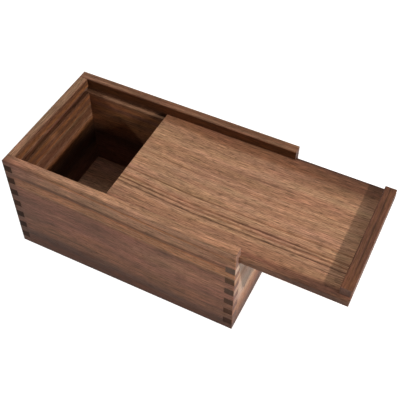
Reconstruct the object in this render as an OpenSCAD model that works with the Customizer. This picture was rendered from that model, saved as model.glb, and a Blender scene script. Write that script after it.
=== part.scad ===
// Finger-jointed walnut box with a lid that slides in grooves.
// Origin: centre of the underside. +X points to the open front end, +Z up, millimetres.

/* [Box] */
// Outside length, from the back end to the front end
box_l = 240; // [200:1:320]
// Outside width, over the two side walls
box_w = 142.5; // [110:0.5:200]
// Outside height, from the underside to the rim
box_h = 120; // [90:1:180]
// Thickness of the two side walls
side_t = 9.5; // [8.5:0.5:13]
// Thickness of the back and front end walls
end_t = 9.5; // [8.5:0.5:13]

/* [Finger joints] */
// Height of one finger
finger_h = 8.2; // [6:0.1:12]
// Least height of side wall left above the top finger
finger_cap = 3; // [2:0.5:6]
// Glue line between two glued faces
glue_line = 0.05; // [0.02:0.01:0.1]

/* [Lid groove] */
// Height of the lip that holds the lid down
lip_h = 10; // [6:0.5:14]
// Depth of the groove in the side walls and the back end
groove_d = 4.5; // [3:0.25:6]

/* [Lid] */
// Thickness of the lid panel
lid_t = 7.5; // [5:0.25:10]
// Running gap above and below the lid
lid_gap_z = 0.25; // [0.15:0.05:0.5]
// Gap at each long edge, room for the panel to swell across its grain
lid_gap_y = 0.75; // [0.3:0.05:1.5]
// Gap behind the back edge when the lid is shut
lid_gap_x = 0.5; // [0.2:0.1:1.5]
// How far the shut lid stands out past the front end
lid_overhang = 1.5; // [0:0.5:5]
// How far the lid is drawn open
lid_open = 96.5; // [0:0.5:150]

/* [Lid pull] */
// Width of the pull, along the lid
pull_w = 11; // [8:0.5:20]
// Height of the pull above the lid
pull_h = 9.25; // [5:0.25:14]
// Gap between each end of the pull and the lip beside it
pull_gap = 0.6; // [0.3:0.1:2]

/* [Bottom panel] */
// Thickness of the bottom panel
bottom_t = 5; // [3:0.5:8]
// Width of the rebate that the panel is let into
rebate_d = 4.75; // [3:0.25:6]

/* [Eased edges] */
// Radius on the outside edges and the rim
edge_r = 0.9; // [0.4:0.1:1.5]
// Radius on the edges along the groove
groove_edge_r = 0.5; // [0.2:0.1:1]
// Radius on the edges of the lid panel
lid_edge_r = 0.7; // [0.3:0.1:1.5]
// Radius on the upper edges of the pull
pull_edge_r = 1.1; // [0.4:0.1:2.5]

/* [Hidden] */
$fn = 64;

// How far a cutting shape runs past the face that it cuts
cut_over = 2;

// Outer and inner faces, measured from the middle of the box
half_l = box_l / 2;
half_w = box_w / 2;
inner_x = half_l - end_t;
inner_y = half_w - side_t;

// Levels of the groove: its top is the lip's underside, its floor is the sill
groove_h = lid_t + 2 * lid_gap_z;
groove_top = box_h - lip_h;
sill_z = groove_top - groove_h;

// Fingers that fit each corner: full height at the back, up to the sill at the front
back_fingers = floor((box_h - finger_cap) / (2 * finger_h));
front_fingers = floor((sill_z - finger_cap) / (2 * finger_h));

// Lid panel: shut, its back edge stands lid_gap_x off the bottom of the back groove
shut_back_x = -(inner_x + groove_d - lid_gap_x);
lid_l = half_l + lid_overhang - shut_back_x;
lid_w = 2 * (inner_y + groove_d - lid_gap_y);
lid_z = sill_z + lid_gap_z;
lid_mid_x = shut_back_x + lid_open + lid_l / 2;

// Lid pull: across the front end of the panel, short enough to pass between the lips
pull_l = 2 * (inner_y - pull_gap);
pull_z = lid_z + lid_t + glue_line;
pull_mid_x = lid_mid_x + (lid_l - pull_w) / 2;

// Waste outside a round corner; the wood lies towards -x and -y of the corner
module corner_waste(r) {
    difference() {
        translate([-r, -r]) square(r + cut_over);
        translate([-r, -r]) circle(r);
    }
}

// Corner waste of a corner that points to the side given by two signs
module turned_waste(r, sign_x, sign_y) {
    mirror([sign_x < 0 ? 1 : 0, 0])
        mirror([0, sign_y < 0 ? 1 : 0])
            corner_waste(r);
}

// Bar that eases an edge running along X; the signs give the side that the edge points to
module edge_along_x(x0, x1, y, z, r, sign_y, sign_z) {
    translate([x0, y, z])
        rotate([90, 0, 90])
            linear_extrude(x1 - x0)
                turned_waste(r, sign_y, sign_z);
}

// Bar that eases an edge running along Y, centred on the middle of the box
module edge_along_y(length, x, z, r, sign_x, sign_z) {
    translate([x, length / 2, z])
        rotate([90, 0, 0])
            linear_extrude(length)
                turned_waste(r, sign_x, sign_z);
}

// Bar that eases an edge running along Z
module edge_along_z(z0, z1, x, y, r, sign_x, sign_y) {
    translate([x, y, z0])
        linear_extrude(z1 - z0)
            turned_waste(r, sign_x, sign_y);
}

// Outline of a board's end, standing on the x axis, its lower corners eased or left sharp
module eased_outline(w, h, r, ease_lower) {
    difference() {
        translate([-w / 2, 0]) square([w, h]);
        for (side = [-1, 1]) {
            translate([side * w / 2, h]) turned_waste(r, side, 1);
            if (ease_lower) translate([side * w / 2, 0]) turned_waste(r, side, -1);
        }
    }
}

// Block with its middle over the origin and all outer edges eased
module eased_block(l, w, h, r, ease_lower = true) {
    intersection() {
        translate([0, -w / 2, 0])
            linear_extrude(h)
                eased_outline(l, w, r, true);
        translate([-l / 2, 0, 0])
            rotate([90, 0, 90])
                linear_extrude(l)
                    eased_outline(w, h, r, ease_lower);
        translate([0, w / 2, 0])
            rotate([90, 0, 0])
                linear_extrude(w)
                    eased_outline(l, h, r, ease_lower);
    }
}

// Space that the lid runs in: side grooves and back groove in one cut
module lid_way() {
    back = inner_x + groove_d;
    translate([-back, -(inner_y + groove_d), sill_z])
        cube([back + half_l + cut_over, 2 * (inner_y + groove_d), groove_h]);
}

// Recess for the bottom panel, cut round the inside of all four walls
module panel_recess() {
    length = 2 * (inner_x + rebate_d);
    width = 2 * (inner_y + rebate_d);
    translate([-length / 2, -width / 2, -cut_over])
        cube([length, width, bottom_t + glue_line + cut_over]);
}

// Fingers of an end wall at the +X end, all across the box; slack widens them into slots
module end_fingers(count, slack) {
    for (i = [0 : count - 1])
        translate([inner_x - slack, -half_w - cut_over, (2 * i + 1) * finger_h - slack])
            cube([end_t + slack + cut_over, box_w + 2 * cut_over, finger_h + 2 * slack]);
}

// Far side wall with its slots, groove, rebate and eased edges
module side_wall() {
    difference() {
        intersection() {
            eased_block(box_l, box_w, box_h, edge_r);
            translate([-half_l, inner_y, 0]) cube([box_l, side_t, box_h]);
        }
        end_fingers(front_fingers, glue_line);
        mirror([1, 0, 0]) end_fingers(back_fingers, glue_line);
        lid_way();
        panel_recess();
        // inner edge of the rim
        edge_along_x(-inner_x, half_l + cut_over, inner_y, box_h, edge_r, -1, 1);
        // underside of the lip, and the sill
        edge_along_x(-inner_x, half_l + cut_over, inner_y, groove_top, groove_edge_r, -1, -1);
        edge_along_x(-inner_x, inner_x, inner_y, sill_z, groove_edge_r, -1, 1);
        // upright edge at the front end of the lip
        edge_along_z(groove_top, box_h + cut_over, half_l, inner_y, groove_edge_r, 1, -1);
    }
}

// End wall at the +X end, of a given height, before its grooves are cut
module end_wall(height, count) {
    body_w = 2 * (inner_y - glue_line);
    intersection() {
        eased_block(box_l, box_w, box_h, edge_r);
        union() {
            translate([inner_x, -body_w / 2, 0]) cube([end_t, body_w, height]);
            end_fingers(count, 0);
        }
        translate([inner_x, -half_w, 0]) cube([end_t, box_w, height]);
    }
}

module near_side() {
    color("#6a4736") mirror([0, 1, 0]) side_wall();
}

module far_side() {
    color("#6a4736") side_wall();
}

module back_end() {
    color("#7a5340")
        difference() {
            mirror([1, 0, 0]) end_wall(box_h, back_fingers);
            lid_way();
            panel_recess();
            // inner edge of the rim, underside of the lip, and the sill
            edge_along_y(2 * inner_y, -inner_x, box_h, edge_r, 1, 1);
            edge_along_y(2 * inner_y, -inner_x, groove_top, groove_edge_r, 1, -1);
            edge_along_y(2 * inner_y, -inner_x, sill_z, groove_edge_r, 1, 1);
        }
}

// The front end stops at the sill, so that the lid can pass over it
module front_end() {
    color("#8a614b")
        difference() {
            end_wall(sill_z, front_fingers);
            panel_recess();
            // both long edges of the top
            edge_along_y(2 * inner_y, half_l, sill_z, edge_r, 1, 1);
            edge_along_y(2 * inner_y, inner_x, sill_z, groove_edge_r, -1, 1);
        }
}

module bottom_panel() {
    length = 2 * (inner_x + rebate_d - glue_line);
    width = 2 * (inner_y + rebate_d - glue_line);
    color("#4a3127")
        translate([-length / 2, -width / 2, 0])
            cube([length, width, bottom_t]);
}

module lid_panel() {
    color("#8c6247")
        translate([lid_mid_x, 0, lid_z])
            eased_block(lid_l, lid_w, lid_t, lid_edge_r);
}

// The pull is glued on the lid, so only its upper edges are eased
module lid_pull() {
    color("#6b4635")
        translate([pull_mid_x, 0, pull_z])
            eased_block(pull_w, pull_l, pull_h - glue_line, pull_edge_r, ease_lower = false);
}

near_side();
far_side();
back_end();
front_end();
bottom_panel();
lid_panel();
lid_pull();
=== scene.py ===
"""Looks, lights and camera for a sliding lid box of oiled black walnut."""

import math

import bpy
from bpy.props import FloatProperty, FloatVectorProperty, PointerProperty
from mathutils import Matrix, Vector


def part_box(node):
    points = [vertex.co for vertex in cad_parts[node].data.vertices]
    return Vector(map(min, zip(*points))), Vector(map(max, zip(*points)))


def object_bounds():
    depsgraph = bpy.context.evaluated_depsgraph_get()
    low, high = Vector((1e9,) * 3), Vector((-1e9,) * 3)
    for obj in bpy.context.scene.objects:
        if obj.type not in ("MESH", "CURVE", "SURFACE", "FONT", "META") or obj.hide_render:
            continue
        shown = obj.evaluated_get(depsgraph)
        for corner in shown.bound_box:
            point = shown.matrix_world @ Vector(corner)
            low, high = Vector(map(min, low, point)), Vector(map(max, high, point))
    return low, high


bl_info = {
    "name": "Sliding Lid Walnut Box",
    "version": (1, 0, 0),
    "blender": (4, 5, 0),
    "location": "View3D > Sidebar > Walnut Box",
    "description": "Dresses the boards of a sliding lid box in walnut and sets its studio",
    "category": "Object",
}

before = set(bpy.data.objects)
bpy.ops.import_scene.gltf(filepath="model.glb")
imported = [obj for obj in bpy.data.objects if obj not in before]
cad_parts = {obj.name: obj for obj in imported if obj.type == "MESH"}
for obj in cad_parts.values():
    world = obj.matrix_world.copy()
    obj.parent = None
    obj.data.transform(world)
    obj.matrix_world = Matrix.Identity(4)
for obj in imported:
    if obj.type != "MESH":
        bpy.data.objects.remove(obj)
cad_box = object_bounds()

MM = 0.001
AXES = "XYZ"

# Sockets that share their name with another, and so are linked by number: those of a Map
# Range, and those of a Mix of colours.
FROM_MIN, FROM_MAX, TO_MIN, TO_MAX = 1, 2, 3, 4
MIX_SHARE, MIX_UNDER, MIX_OVER, MIX_RESULT = 0, 6, 7, 2

# Finish. Oil leaves the face satin, and the open pores and the ends dull.
WALNUT_IOR = 1.5
FACE_ROUGHNESS, PORE_ROUGHNESS = 0.5, 0.75
FACE_SPECULAR, END_SPECULAR = 0.1, 0.02
BUMP_STRENGTH = 0.5
FIBRE_RELIEF = 0.35  # of a pore's depth

# Slow drift of the growth lines: length and breadth of a sway in millimetres, and how many
# times the board's own drift it moves them.
SWAYS = ((190, 60, 4), (46, 16, 1))

# Figure. Noise keeps round its middle, and a span says between which of its values a mark
# comes in. A swing is how far a layer lightens and darkens the wood.
NOISE_MIDDLE, NOISE_SPAN = 0.5, (0.25, 0.75)
FIGURE_SEED = 10  # more than the board's own seed, so that figure and drift differ
BLOTCH_LENGTH, BLOTCH_BREADTH = 60, 10  # millimetres
GROWTH_SWING, FIBRE_SWING = 0.22, 0.7
TINT_SWINGS = (("blotch", 0.2), ("fibre", 0.16))
LATE_SPAN, LATE_SHARE = (0.56, 0.7), 0.4
PORE_SPAN, PORE_SHARE, PORE_LEVEL = (0.55, 0.67), 0.58, 0.6

ARRIS_START = 0.5  # millimetres in from the corner, where its dark line starts to fade
END_SPAN = (0.55, 0.9)  # of the normal's part along the grain, where a face turns into an end

# Studio, in metres.
SENSOR_WIDTH_MM = 36.0
FLOOR_HALF, FLOOR_DROP = 6.0, 0.0003
KEY_SIZE, LEFT_SIZE, NEAR_SIZE, SOFTBOX_SIZE = 0.05, 0.055, 0.12, 0.35
KEY_TINT, PLAIN_TINT = "#fff2ec", "#ffffff"
BACKDROP_RAYS = ("Is Camera Ray", "Is Glossy Ray", "Is Transmission Ray")


def linear(hex_colour):
    """An sRGB hex colour as linear red, green and blue."""
    channels = [int(hex_colour[i:i + 2], 16) / 255 for i in (1, 3, 5)]
    return tuple(c / 12.92 if c <= 0.04045 else ((c + 0.055) / 1.055) ** 2.4 for c in channels)


def tone(name, description, hex_colour):
    """A colour that the user can change."""
    return FloatVectorProperty(name=name, description=description, subtype="COLOR", size=3,
                               min=0.0, max=1.0, default=linear(hex_colour))


def width(name, description, millimetres):
    """A grain size that the user can change, kept in metres."""
    return FloatProperty(name=name, description=description, unit="LENGTH", min=0.0001,
                         default=millimetres * MM)


def lamp_power(name, description, watts):
    """A lamp's power that the user can change."""
    return FloatProperty(name=name, description=description, unit="POWER", min=0.0, default=watts)


def stand(name, description, place):
    """Where a lamp or the camera stands, which the user can change."""
    return FloatVectorProperty(name=name, description=description, subtype="TRANSLATION",
                               size=3, default=place)


class WalnutTones(bpy.types.PropertyGroup):
    """The tones that the grain of the boards is mixed from."""
    # Pale is also laid where the lid's shadow falls on the front wall: partly the board's own
    # paler tone, partly painted light in that shadow.
    pale: tone("Pale", "Greyer wood of the front wall", "#c0a590")
    light: tone("Light", "Pale lines of early growth", "#bb9070")
    tan: tone("Tan", "Warm ground of the lid and the rims", "#a77d60")
    orange: tone("Orange", "Warm streaks", "#a86f47")
    brown: tone("Brown", "Middle heartwood", "#865c43")
    purple: tone("Purple", "Cool heartwood of the side walls", "#875c49")
    # Dark and umber also carry painted shade: low on the near wall, on the far lip, inside the far
    # and back walls, and on the lid under the far lip and at its front near corner.
    dark: tone("Dark", "Late growth lines, and where hands darken the wood", "#593d2f")
    umber: tone("Umber", "Darkest heartwood, low on the near wall", "#4d2a16")
    soaked_end: tone("Soaked end", "End grain that drank the oil", "#35241c")
    # The end grain of the side walls and the pull is laid in this lighter grey: painted sheen of
    # the lamps on those ends.
    end_with_painted_sheen: tone("Dry end", "End grain that was sanded again after the oil", "#73635f")


class WalnutGrain(bpy.types.PropertyGroup):
    """Sizes of the figure in the boards."""
    line: width("Growth line", "Spacing of the growth lines on a face", 2.2)
    line_length: width("Growth line length", "How far a growth line runs before it fades", 130)
    fibre: width("Fibre", "Width of the fine fibre streaks as drawn", 0.72)
    fibre_length: width("Fibre length", "Length of the fine fibre streaks", 14)
    pore: width("Pore", "Width of an open pore as drawn", 0.6)
    pore_length: width("Pore length", "Length of an open pore along the grain", 6)
    relief: width("Relief", "Depth of the pores in the sanded face", 0.1)
    arris: width("Arris", "Breadth of the dark line along a handled edge", 2.4)


class Studio(bpy.types.PropertyGroup):
    """Camera, lamps and floor."""
    lens: FloatProperty(name="Lens", description="Focal length on a 36 mm wide sensor",
                        unit="CAMERA", default=66.0)
    camera_place: stand("Camera", "Where the camera stands", (0.2510, -0.4064, 0.6151))
    camera_turn: FloatVectorProperty(
        name="Camera turn", description="Turn about X, Y and Z", subtype="EULER", size=3,
        default=tuple(math.radians(angle) for angle in (40.218, -0.307, 26.648)))
    key_place: stand("Key lamp", "Small warm lamp in front of the box", (0.967, -0.18, 0.576))
    key_power: lamp_power("Key power", "Power of the key lamp", 7.5)
    left_place: stand("Left lamp", "Small lamp behind the box", (-0.77, -0.17, 0.80))
    left_power: lamp_power("Left power", "Power of the left lamp", 4.2)
    near_place: stand("Near lamp", "Lamp on the near side", (0.72, -0.80, 0.58))
    near_power: lamp_power("Near power", "Power of the near lamp", 2.0)
    soft_place: stand("Softbox", "Softbox overhead", (-0.03, 0.08, 1.1))
    soft_power: lamp_power("Softbox power", "Power of the softbox", 1.8)
    ambient: FloatProperty(name="Ambient", description="Strength of the light from all round",
                           min=0.0, default=0.09)
    floor_colour: tone("Floor", "Pale floor that the box stands on", "#dcdcdc")
    floor_glow: FloatProperty(name="Floor glow", description="What the camera sees added to "
                              "the lit floor, so that it reads as white", min=0.0, default=0.7)


# How each board was cut. "axes" are the frame's axes along its grain, across the face that
# shows most and through its thickness, and "face" is where that face lies. "streaks" go
# across it, from edge to edge, in millimetres of the frame, and those of a wall past 120 are
# on its rim. "lean" is how far they shift for each millimetre through the board, and "bend"
# moves them by its last number between two places along it. "clouds" are broad patches of
# another tone: place along and across, half length, half width, tone and share. "figure" is
# the strength of the fine lines, "mottle" that of the blotches, "level" how light the whole
# board is, "ends" the tone and share of its end grain, and "arris" how much darker its
# long edges are. Some streaks, clouds and levels are painted shade, as said at the boards.
BOARDS = {
    "near_side": dict(
        # Umber and dark streaks and patches low on the wall darken it towards the floor: partly
        # the wood, partly painted shade where the light falls off at its foot.
        axes="XZY", face=-71.25, seed=1.0, ends=("end_with_painted_sheen", 0.6), figure=0.95, mottle=0.28,
        lean=1.0, bend=(-90, 110, 8), drift=1.5, level=1.08, arris=0.34,
        streaks=((0, "umber"), (12, "umber"), (22, "dark"), (33, "brown"), (34, "dark"),
                 (35, "brown"), (52, "purple"), (80, "purple"), (87, "purple"), (89, "brown"),
                 (91.5, "tan"), (93, "orange"), (95, "tan"), (96.5, "orange"), (98, "tan"),
                 (100, "orange"), (102, "brown"), (103, "brown"), (104, "dark"), (105.2, "brown"),
                 (107, "tan"), (115.8, "tan"), (117.4, "orange"), (118.7, "brown"), (120.3, "tan"),
                 (122, "tan"), (126, "light"), (129.5, "tan")),
        clouds=((-35, 23, 30, 5, "umber", 0.8), (25, 13, 45, 9, "umber", 0.8),
                (-90, 8, 70, 10, "umber", 0.6), (105, 6, 60, 12, "umber", 0.8),
                (-112, 54, 60, 70, "dark", 0.42), (115, 30, 45, 34, "dark", 0.4),
                (60, 70, 90, 22, "tan", 0.45), (-30, 50, 34, 7, "orange", 0.3),
                (75, 87, 50, 1.8, "dark", 0.3), (-118, 116, 75, 30, "purple", 0.9),
                (108, 116, 42, 20, "brown", 0.6), (-20, 78, 24, 3, "umber", 0.3),
                (20, 62, 30, 2.5, "umber", 0.25), (-64, 66, 26, 3, "tan", 0.35),
                (40, 44, 40, 3, "tan", 0.3), (80, 56, 30, 2.5, "umber", 0.25),
                (-124, 60, 22, 400, "dark", 0.8))),
    "far_side": dict(
        # Painted shade inside the box: the umber of the lip's inner face from 111 to 120, the
        # purple and dark band from 30 to 56 and the umber patch at the back end darken where the
        # inside lies in shade. The low level darkens the wall partly for its own tone, partly as
        # painted shade.
        axes="XZY", face=61.75, seed=2.0, ends=("end_with_painted_sheen", 0.6), figure=0.9, mottle=0.15,
        lean=1.0, bend=(-60, 120, 0.3), drift=1.0, level=0.75, arris=0.06,
        streaks=((0, "brown"), (30, "purple"), (48, "dark"), (56, "brown"), (70, "orange"),
                 (78, "brown"), (84, "orange"), (90, "purple"), (94, "orange"), (99, "brown"),
                 (101.5, "tan"), (104, "tan"), (108, "brown"), (111, "umber"), (120, "umber"),
                 (120.6, "brown"), (123, "tan"), (126, "brown"), (129.5, "tan")),
        clouds=((-40, 124, 50, 4, "brown", 0.7), (60, 127, 60, 6, "brown", 0.7),
                (-112, 84, 34, 34, "umber", 0.8), (20, 115, 300, 8, "orange", 0.06))),
    "back_end": dict(
        # Painted shade inside the box: the dark and umber band from 34 to 50 darkens the inner
        # face where it lies in shade below the lid's shadow line. The low level darkens the wall
        # partly for its own tone, partly as painted shade.
        axes="YZX", face=-110.5, seed=3.0, ends=("soaked_end", 0.88), figure=1.0, mottle=0.2,
        lean=-1.0, bend=(-60, 60, 0.5), drift=2.4, level=0.66, arris=0.06,
        streaks=((0, "brown"), (12, "purple"), (26, "brown"), (34, "dark"), (44, "umber"),
                 (50, "dark"), (57, "brown"), (63, "orange"), (66, "orange"),
                 (72, "tan"), (75, "brown"), (81, "brown"), (83.5, "brown"), (86, "tan"),
                 (89, "orange"), (91.5, "brown"), (95, "brown"), (98, "orange"), (101, "brown"),
                 (105, "brown"), (107.5, "purple"), (110, "tan"), (113, "orange"),
                 (118, "brown"), (120.4, "brown"), (121, "tan"), (125, "light"), (129.5, "tan")),
        clouds=((-5, 96, 14, 7, "tan", 0.35), (10, 125, 9, 5, "purple", 0.5),
                (50, 106, 40, 5, "dark", 0.4), (-40, 84, 24, 4, "tan", 0.3),
                (20, 92, 20, 3, "umber", 0.3), (30, 71, 30, 3, "orange", 0.4))),
    "front_end": dict(
        axes="YZX", face=120.0, seed=4.0, ends=("soaked_end", 0.77), figure=0.6, mottle=0.15,
        lean=0.6, bend=(-60, 60, -3), drift=1.5, level=0.97, arris=0.12,
        # The pale band from 44 to 104 lies where the lid's shadow falls: partly the board's paler
        # tone, partly painted bounce light and grey sheen in that shadow.
        streaks=((0, "umber"), (8, "dark"), (20, "brown"), (32, "tan"), (44, "pale"),
                 (60, "pale"), (76, "tan"), (84, "pale"), (104, "pale"), (120, "light")),
        clouds=((-70, 45, 16, 34, "purple", 0.75),)),
    "bottom_panel": dict(
        axes="XYZ", face=5.0, seed=5.0, ends=("soaked_end", 0.7), figure=1.0, mottle=0.15,
        lean=0.5, bend=(-60, 60, 4), drift=3.0, level=0.88, arris=0.0,
        streaks=((-66, "tan"), (-30, "brown"), (-12, "dark"), (-6, "brown"), (20, "tan"),
                 (34, "brown"), (50, "purple"), (66, "brown")),
        clouds=()),
    "lid_panel": dict(
        axes="XYZ", face=109.75, seed=6.0, ends=("soaked_end", 0.7), figure=0.95, mottle=0.1,
        lean=0.6, bend=(-30, 70, 5), drift=0.8, level=0.98, arris=0.12,
        # The brown and dark streaks from 56 to the far edge, and the brown patch along the far
        # lip, darken the lid under that lip: partly the wood, partly painted shade of the lip.
        streaks=((-67, "purple"), (-63, "brown"), (-60, "tan"), (-55, "purple"), (-50, "tan"),
                 (-41.5, "tan"), (-39.5, "light"), (-36.2, "tan"), (-35.2, "dark"),
                 (-34, "tan"), (-32.4, "light"), (-30.6, "brown"), (-28.4, "light"),
                 (-26.4, "brown"), (-25, "tan"), (-18.4, "light"), (-17.3, "brown"),
                 (-16, "tan"), (-8, "light"), (-3, "tan"), (4, "light"), (10, "tan"),
                 (13, "light"), (15.5, "tan"), (29, "tan"), (34, "light"), (44, "tan"),
                 (51, "tan"), (56, "brown"), (64, "brown"), (69, "dark")),
        clouds=((180, 58, 80, 22, "dark", 0.62), (110, 28, 50, 1.8, "dark", 0.6),
                (70, 21, 30, 3, "dark", 0.3), (30, 9, 40, 1.6, "dark", 0.5),
                (50, 12, 30, 1.2, "dark", 0.3), (40, 60, 60, 5, "brown", 0.6),
                (150, -48, 80, 16, "brown", 0.3), (150, 2, 60, 2, "dark", 0.3),
                (20, 38, 40, 2, "dark", 0.3), (140, 46, 60, 9, "brown", 0.3),
                (5, -30.6, 70, 1.3, "dark", 0.9), (125, -26.4, 75, 1.5, "dark", 0.95),
                (40, -17.4, 90, 1.1, "dark", 0.5), (170, -29.5, 30, 1.2, "dark", 0.8),
                (185, -41, 40, 1.1, "dark", 0.7), (10, -46, 50, 1.2, "dark", 0.5),
                # The dark patches at the front near corner are the wood's dark streak along the
                # near edge, deepened by painted shade where the pull's shadow falls.
                (185, -61, 85, 10, "dark", 1.0), (200, -55, 34, 7, "dark", 0.85),
                (165, -55.5, 60, 6, "dark", 0.45), (180, -12, 40, 1.2, "dark", 0.5))),
    "lid_pull": dict(
        axes="YXZ", face=119.0, seed=7.0, ends=("end_with_painted_sheen", 0.45), figure=0.7, mottle=0.15,
        lean=0.6, bend=(-60, 60, 1), drift=0.8, level=0.57, arris=0.12,
        streaks=((205, "brown"), (209, "purple"), (210, "brown"), (212, "purple"),
                 (213, "dark"), (214, "brown"), (216, "purple"), (218, "brown"),
                 (224, "brown")),
        clouds=((-60, 212, 40, 14, "orange", 0.3),)),
}


def add_node(tree, kind, inputs=(), output=0, stops=(), **settings):
    """Adds a node with its settings, links and colour stops, and returns one of its outputs."""
    node = tree.nodes.new(kind)
    for name, value in settings.items():
        setattr(node, name, value)
    for key, value in dict(inputs).items():
        if isinstance(value, bpy.types.NodeSocket):
            tree.links.new(value, node.inputs[key])
        else:
            node.inputs[key].default_value = value
    if stops:
        ramp = node.color_ramp.elements
        ramp.remove(ramp[-1])
        ramp[0].position = stops[0][0]
        ramp[0].color = (*stops[0][1], 1)
        for place, colour in stops[1:]:
            ramp.new(place).color = (*colour, 1)
    return node.outputs[output] if len(node.outputs) else node


def place_in_board(tree, board):
    """A point's place in its board in millimetres: along the grain, across the face that shows
    most, and how far through the board it is from that face."""
    place = add_node(tree, "ShaderNodeTexCoord", output="Object")
    in_mm = add_node(tree, "ShaderNodeVectorMath", {0: place, "Scale": 1 / MM}, operation="SCALE")
    in_frame = add_node(tree, "ShaderNodeSeparateXYZ", {0: in_mm}).node.outputs
    along, across, through = (in_frame[AXES.index(axis)] for axis in board["axes"])
    depth = add_node(tree, "ShaderNodeMath", {0: through, 1: board["face"]}, operation="SUBTRACT")
    return along, across, depth


def grain_noise(tree, place, length, breadth, seed, detail):
    """Noise drawn out along the grain, in cells of a real length and breadth."""
    cell = add_node(tree, "ShaderNodeVectorMath",
                    {0: place, 1: (1 / length, 1 / breadth, 1 / breadth)}, operation="MULTIPLY")
    return add_node(tree, "ShaderNodeTexNoise",
                    {"Vector": cell, "W": seed, "Scale": 1.0, "Detail": detail},
                    noise_dimensions="4D")


def place_in_log(tree, board, along, across, depth):
    """The growth line that a point lies on, as a place across the face, and its whole place in
    the log. The lines lean through the board, bend along it and drift."""
    start, stop, shift = board["bend"]
    bend = add_node(tree, "ShaderNodeMapRange",
                    {0: along, FROM_MIN: start, FROM_MAX: stop, TO_MIN: 0, TO_MAX: shift},
                    interpolation_type="SMOOTHSTEP")
    bent = add_node(tree, "ShaderNodeMath", {0: across, 1: bend}, operation="ADD")
    line = add_node(tree, "ShaderNodeMath", {0: depth, 1: board["lean"], 2: bent},
                    operation="MULTIPLY_ADD")
    place = add_node(tree, "ShaderNodeCombineXYZ", {0: along, 1: across, 2: depth})
    for length, breadth, times in SWAYS:
        sway = grain_noise(tree, place, length, breadth, board["seed"], detail=1.0)
        centred = add_node(tree, "ShaderNodeMath", {0: sway, 1: NOISE_MIDDLE},
                           operation="SUBTRACT")
        line = add_node(tree, "ShaderNodeMath", {0: centred, 1: board["drift"] * times, 2: line},
                        operation="MULTIPLY_ADD")
    return line, add_node(tree, "ShaderNodeCombineXYZ", {0: along, 1: line, 2: depth})


def streaks_and_clouds(tree, board, tones, line, log):
    """The board's bands of tone from edge to edge, with its broad patches over them."""
    def at_level(shade):
        return tuple(channel * board["level"] for channel in getattr(tones, shade))

    low, high = board["streaks"][0][0], board["streaks"][-1][0]
    share = add_node(tree, "ShaderNodeMapRange", {0: line, FROM_MIN: low, FROM_MAX: high})
    wood = add_node(tree, "ShaderNodeValToRGB", {0: share},
                    stops=[((across - low) / (high - low), at_level(shade))
                           for across, shade in board["streaks"]])
    for place_along, place_across, half_length, half_width, shade, most in board["clouds"]:
        offset = add_node(tree, "ShaderNodeVectorMath",
                          {0: log, 1: (place_along, place_across, 0)}, operation="SUBTRACT")
        offset = add_node(tree, "ShaderNodeVectorMath",
                          {0: offset, 1: (1 / half_length, 1 / half_width, 0)},
                          operation="MULTIPLY")
        reach = add_node(tree, "ShaderNodeVectorMath", {0: offset}, output="Value",
                         operation="LENGTH")
        cloud = add_node(tree, "ShaderNodeMapRange",
                         {0: reach, FROM_MIN: 0, FROM_MAX: 1, TO_MIN: most, TO_MAX: 0},
                         interpolation_type="SMOOTHSTEP")
        wood = add_node(tree, "ShaderNodeMix",
                        {MIX_SHARE: cloud, MIX_UNDER: wood, MIX_OVER: (*at_level(shade), 1)},
                        output=MIX_RESULT, data_type="RGBA")
    return wood


def figure_layers(tree, board, grain, log):
    """Noises at the real sizes of the wood's marks. Fibres and pores are 0.2 mm wide, too fine
    for the render, and are drawn about three times as wide."""
    layers = {}
    seed = board["seed"] + FIGURE_SEED
    for layer, length, breadth, detail in (
            ("blotch", BLOTCH_LENGTH, BLOTCH_BREADTH, 2.0),
            ("growth", grain.line_length / MM, grain.line / MM, 2.0),
            ("fibre", grain.fibre_length / MM, grain.fibre / MM, 2.0),
            ("pore", grain.pore_length / MM, grain.pore / MM, 1.0)):
        layers[layer] = grain_noise(tree, log, length, breadth, seed, detail)
    return layers


def figured(tree, board, wood, layers):
    """Growth lines, fibres and blotches lighten, darken and tint the wood."""
    light = 1.0
    for layer, swing in (("growth", GROWTH_SWING * board["figure"]),
                         ("fibre", FIBRE_SWING * board["figure"]), ("blotch", board["mottle"])):
        share = add_node(tree, "ShaderNodeMapRange",
                         {0: layers[layer], FROM_MIN: NOISE_SPAN[0], FROM_MAX: NOISE_SPAN[1],
                          TO_MIN: 1 - swing, TO_MAX: 1 + swing})
        light = add_node(tree, "ShaderNodeMath", {0: light, 1: share}, operation="MULTIPLY")
    wood = add_node(tree, "ShaderNodeVectorMath", {0: wood, "Scale": light}, operation="SCALE")
    for layer, swing in TINT_SWINGS:
        tint = add_node(tree, "ShaderNodeVectorMath",
                        {0: layers[layer].node.outputs["Color"], 1: (swing,) * 3,
                         2: (1 - swing * NOISE_MIDDLE,) * 3}, operation="MULTIPLY_ADD")
        wood = add_node(tree, "ShaderNodeVectorMath", {0: wood, 1: tint}, operation="MULTIPLY")
    return wood


def late_growth_and_pores(tree, board, tones, wood, layers, pores):
    """Late growth as long thin dark lines, and open pores as short dark dashes on a face and
    dots on an end."""
    late = add_node(tree, "ShaderNodeMapRange",
                    {0: layers["growth"], FROM_MIN: LATE_SPAN[0], FROM_MAX: LATE_SPAN[1]})
    late = add_node(tree, "ShaderNodeMath", {0: late, 1: LATE_SHARE * board["figure"]},
                    operation="MULTIPLY")
    marks = add_node(tree, "ShaderNodeMath", {0: pores, 1: PORE_SHARE * board["figure"], 2: late},
                     operation="MULTIPLY_ADD", use_clamp=True)
    shade = tuple(channel * board["level"] * PORE_LEVEL for channel in tones.dark)
    return add_node(tree, "ShaderNodeMix",
                    {MIX_SHARE: marks, MIX_UNDER: wood, MIX_OVER: (*shade, 1)},
                    output=MIX_RESULT, data_type="RGBA")


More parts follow.
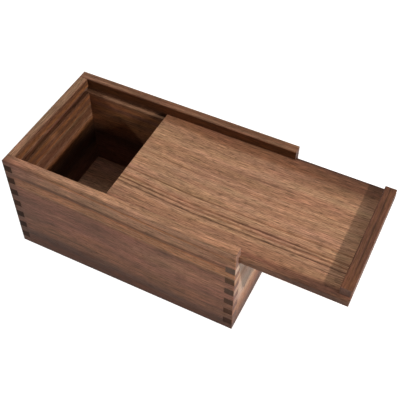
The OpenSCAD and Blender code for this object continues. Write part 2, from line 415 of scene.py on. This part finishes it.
def darker_edges(tree, node, grain, wood, across, depth):
    """The long edges are eased by hand, and a thin line along each is darkened."""
    board = BOARDS[node]
    low, high = (corner[AXES.index(board["axes"][1])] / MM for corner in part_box(node))
    from_middle = add_node(tree, "ShaderNodeMath", {0: across, 1: (low + high) / 2},
                           operation="SUBTRACT")
    from_middle = add_node(tree, "ShaderNodeMath", {0: from_middle}, operation="ABSOLUTE")
    inward = add_node(tree, "ShaderNodeMath", {0: (high - low) / 2, 1: from_middle},
                      operation="SUBTRACT")
    below = add_node(tree, "ShaderNodeMath", {0: depth}, operation="ABSOLUTE")
    inset = add_node(tree, "ShaderNodeMath", {0: below, 1: inward}, operation="ADD")
    eased = add_node(tree, "ShaderNodeMapRange",
                     {0: inset, FROM_MIN: ARRIS_START, FROM_MAX: grain.arris / MM,
                      TO_MIN: 1 - board["arris"], TO_MAX: 1.0}, interpolation_type="SMOOTHSTEP")
    return add_node(tree, "ShaderNodeVectorMath", {0: wood, "Scale": eased}, operation="SCALE")


def end_grain(tree, board):
    """1 where the surface is end grain, and 0 on a face or an edge."""
    normal = add_node(tree, "ShaderNodeTexCoord", output="Normal")
    facing = add_node(tree, "ShaderNodeSeparateXYZ", {0: normal}).node.outputs
    square_on = add_node(tree, "ShaderNodeMath", {0: facing[AXES.index(board["axes"][0])]},
                         operation="ABSOLUTE")
    return add_node(tree, "ShaderNodeMapRange",
                    {0: square_on, FROM_MIN: END_SPAN[0], FROM_MAX: END_SPAN[1]})


def walnut(node, tones, grain):
    """Black walnut, planed, fine sanded and wiped with oil. It gives the eye long growth lines
    in brown, tan and orange, short dark pores, and end grain that the oil has darkened."""
    board = BOARDS[node]
    material = bpy.data.materials.new(f"oiled_walnut_{node}")
    material.use_nodes = True
    tree = material.node_tree
    tree.nodes.clear()

    along, across, depth = place_in_board(tree, board)
    line, log = place_in_log(tree, board, along, across, depth)
    layers = figure_layers(tree, board, grain, log)
    pores = add_node(tree, "ShaderNodeMapRange",
                     {0: layers["pore"], FROM_MIN: PORE_SPAN[0], FROM_MAX: PORE_SPAN[1]})
    wood = streaks_and_clouds(tree, board, tones, line, log)
    wood = figured(tree, board, wood, layers)
    wood = late_growth_and_pores(tree, board, tones, wood, layers, pores)
    wood = darker_edges(tree, node, grain, wood, across, depth)

    # End grain drinks the oil and goes dark. On the side walls and the pull it is laid in a
    # lighter grey: painted sheen of the lamps on those ends.
    ends = end_grain(tree, board)
    end_tone, end_share = board["ends"]
    end_cover = add_node(tree, "ShaderNodeMath", {0: ends, 1: end_share}, operation="MULTIPLY")
    wood = add_node(tree, "ShaderNodeMix",
                    {MIX_SHARE: end_cover, MIX_UNDER: wood, MIX_OVER: (*getattr(tones, end_tone), 1)},
                    output=MIX_RESULT, data_type="RGBA")

    roughness = add_node(tree, "ShaderNodeMapRange",
                         {0: pores, TO_MIN: FACE_ROUGHNESS, TO_MAX: PORE_ROUGHNESS})
    specular = add_node(tree, "ShaderNodeMapRange",
                        {0: ends, TO_MIN: FACE_SPECULAR, TO_MAX: END_SPECULAR})
    relief = add_node(tree, "ShaderNodeMath", {0: layers["fibre"], 1: FIBRE_RELIEF},
                      operation="MULTIPLY")
    relief = add_node(tree, "ShaderNodeMath", {0: relief, 1: pores}, operation="SUBTRACT")
    bump = add_node(tree, "ShaderNodeBump",
                    {"Height": relief, "Distance": grain.relief, "Strength": BUMP_STRENGTH})
    surface = add_node(tree, "ShaderNodeBsdfPrincipled",
                       {"Base Color": wood, "Roughness": roughness, "Normal": bump,
                        "IOR": WALNUT_IOR, "Specular IOR Level": specular})
    add_node(tree, "ShaderNodeOutputMaterial", {"Surface": surface})
    return material


def dress(nodes, scene):
    """Gives boards of the frame their walnut."""
    for node in nodes:
        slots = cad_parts[node].data.materials
        slots.clear()
        slots.append(walnut(node, scene.walnut_tones, scene.walnut_grain))
    return {"FINISHED"}


class WALNUTBOX_OT_side_walls(bpy.types.Operator):
    """Dress the two long walls, whose grain runs along the box"""
    bl_idname = "walnutbox.side_walls"
    bl_label = "Side Walls"

    def execute(self, context):
        return dress(("near_side", "far_side"), context.scene)


class WALNUTBOX_OT_end_walls(bpy.types.Operator):
    """Dress the back and front walls, whose grain runs across the box"""
    bl_idname = "walnutbox.end_walls"
    bl_label = "End Walls"

    def execute(self, context):
        return dress(("back_end", "front_end"), context.scene)


class WALNUTBOX_OT_bottom(bpy.types.Operator):
    """Dress the bottom panel"""
    bl_idname = "walnutbox.bottom"
    bl_label = "Bottom Panel"

    def execute(self, context):
        return dress(("bottom_panel",), context.scene)


class WALNUTBOX_OT_lid(bpy.types.Operator):
    """Dress the sliding lid and the pull glued on it"""
    bl_idname = "walnutbox.lid"
    bl_label = "Lid and Pull"

    def execute(self, context):
        return dress(("lid_panel", "lid_pull"), context.scene)


def backdrop_seen(tree):
    """1 for the rays that see the floor or the backdrop, and 0 for those that take its light."""
    rays = add_node(tree, "ShaderNodeLightPath").node.outputs
    seen = rays[BACKDROP_RAYS[0]]
    for ray in BACKDROP_RAYS[1:]:
        seen = add_node(tree, "ShaderNodeMath", {0: seen, 1: rays[ray]}, operation="MAXIMUM")
    return seen


def painted_floor(studio):
    """Matt white paint on a smooth board. The camera sees it glow to plain white, and the
    box's shadow stays on it."""
    material = bpy.data.materials.new("matt_white_paint")
    material.use_nodes = True
    tree = material.node_tree
    tree.nodes.clear()
    paint = add_node(tree, "ShaderNodeBsdfDiffuse", {"Color": (*studio.floor_colour, 1)})
    strength = add_node(tree, "ShaderNodeMath", {0: backdrop_seen(tree), 1: studio.floor_glow},
                        operation="MULTIPLY")
    glow = add_node(tree, "ShaderNodeEmission", {"Strength": strength})
    surface = add_node(tree, "ShaderNodeAddShader", {0: paint, 1: glow})
    add_node(tree, "ShaderNodeOutputMaterial", {"Surface": surface})
    return material


def lay_floor(scene, studio):
    """A wide floor just under the box."""
    mesh = bpy.data.meshes.new("studio_floor")
    mesh.from_pydata([(x * FLOOR_HALF, y * FLOOR_HALF, -FLOOR_DROP)
                      for x, y in ((-1, -1), (1, -1), (1, 1), (-1, 1))], [], [(0, 1, 2, 3)])
    mesh.materials.append(painted_floor(studio))
    floor = bpy.data.objects.new("studio_floor", mesh)
    scene.collection.objects.link(floor)


def hang_backdrop(scene, studio):
    """White all round to look at, which lights the box only faintly."""
    world = bpy.data.worlds.new("white_backdrop")
    world.use_nodes = True
    scene.world = world
    tree = world.node_tree
    tree.nodes.clear()
    strength = add_node(tree, "ShaderNodeMapRange",
                        {0: backdrop_seen(tree), TO_MIN: studio.ambient, TO_MAX: 1.0})
    sky = add_node(tree, "ShaderNodeBackground", {"Color": (1, 1, 1, 1), "Strength": strength})
    add_node(tree, "ShaderNodeOutputWorld", {"Surface": sky})


def add_lamp(scene, name, place, size, power, tint):
    """A square soft lamp that faces the middle of the box."""
    lamp = bpy.data.lights.new(name, "AREA")
    lamp.size = size
    lamp.energy = power
    lamp.color = linear(tint)
    holder = bpy.data.objects.new(name, lamp)
    scene.collection.objects.link(holder)
    holder.location = place
    aim = (cad_box[0] + cad_box[1]) / 2 - holder.location
    holder.rotation_euler = aim.to_track_quat("-Z", "Y").to_euler()


def set_camera(scene, studio):
    """A camera at the photo's angle."""
    camera = bpy.data.cameras.new("camera")
    camera.lens = studio.lens
    camera.sensor_width = SENSOR_WIDTH_MM
    holder = bpy.data.objects.new("camera", camera)
    scene.collection.objects.link(holder)
    holder.location = studio.camera_place
    holder.rotation_euler = studio.camera_turn
    scene.camera = holder


class WALNUTBOX_OT_studio(bpy.types.Operator):
    """Set the floor, the white backdrop, the lamps and the camera"""
    bl_idname = "walnutbox.studio"
    bl_label = "Studio"

    def execute(self, context):
        scene = context.scene
        studio = scene.walnut_studio
        scene.view_settings.view_transform = "Standard"
        lay_floor(scene, studio)
        hang_backdrop(scene, studio)
        for name, place, size, power, tint in (
                ("key_lamp", studio.key_place, KEY_SIZE, studio.key_power, KEY_TINT),
                ("left_lamp", studio.left_place, LEFT_SIZE, studio.left_power, PLAIN_TINT),
                ("near_lamp", studio.near_place, NEAR_SIZE, studio.near_power, PLAIN_TINT),
                ("overhead_softbox", studio.soft_place, SOFTBOX_SIZE, studio.soft_power,
                 PLAIN_TINT)):
            add_lamp(scene, name, place, size, power, tint)
        set_camera(scene, studio)
        return {"FINISHED"}


PIECES = (WALNUTBOX_OT_side_walls, WALNUTBOX_OT_end_walls, WALNUTBOX_OT_bottom,
          WALNUTBOX_OT_lid, WALNUTBOX_OT_studio)


class WALNUTBOX_PT_sidebar(bpy.types.Panel):
    """Lists the steps that dress the box"""
    bl_idname = "WALNUTBOX_PT_sidebar"
    bl_label = "Walnut Box"
    bl_space_type = "VIEW_3D"
    bl_region_type = "UI"
    bl_category = "Walnut Box"

    def draw(self, context):
        for piece in PIECES:
            self.layout.operator(piece.bl_idname)
        for group in (context.scene.walnut_tones, context.scene.walnut_grain,
                      context.scene.walnut_studio):
            box = self.layout.box()
            for name in group.__annotations__:
                box.prop(group, name)


CLASSES = (WalnutTones, WalnutGrain, Studio, *PIECES, WALNUTBOX_PT_sidebar)


def register():
    """Makes the settings, the steps and the panel known to Blender."""
    for kind in CLASSES:
        bpy.utils.register_class(kind)
    bpy.types.Scene.walnut_tones = PointerProperty(type=WalnutTones)
    bpy.types.Scene.walnut_grain = PointerProperty(type=WalnutGrain)
    bpy.types.Scene.walnut_studio = PointerProperty(type=Studio)


def unregister():
    """Takes them out again."""
    del bpy.types.Scene.walnut_studio
    del bpy.types.Scene.walnut_grain
    del bpy.types.Scene.walnut_tones
    for kind in reversed(CLASSES):
        bpy.utils.unregister_class(kind)


def main():
    """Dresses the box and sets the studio."""
    register()
    bpy.ops.walnutbox.side_walls()
    bpy.ops.walnutbox.end_walls()
    bpy.ops.walnutbox.bottom()
    bpy.ops.walnutbox.lid()
    bpy.ops.walnutbox.studio()


if __name__ == "__main__":
    main()
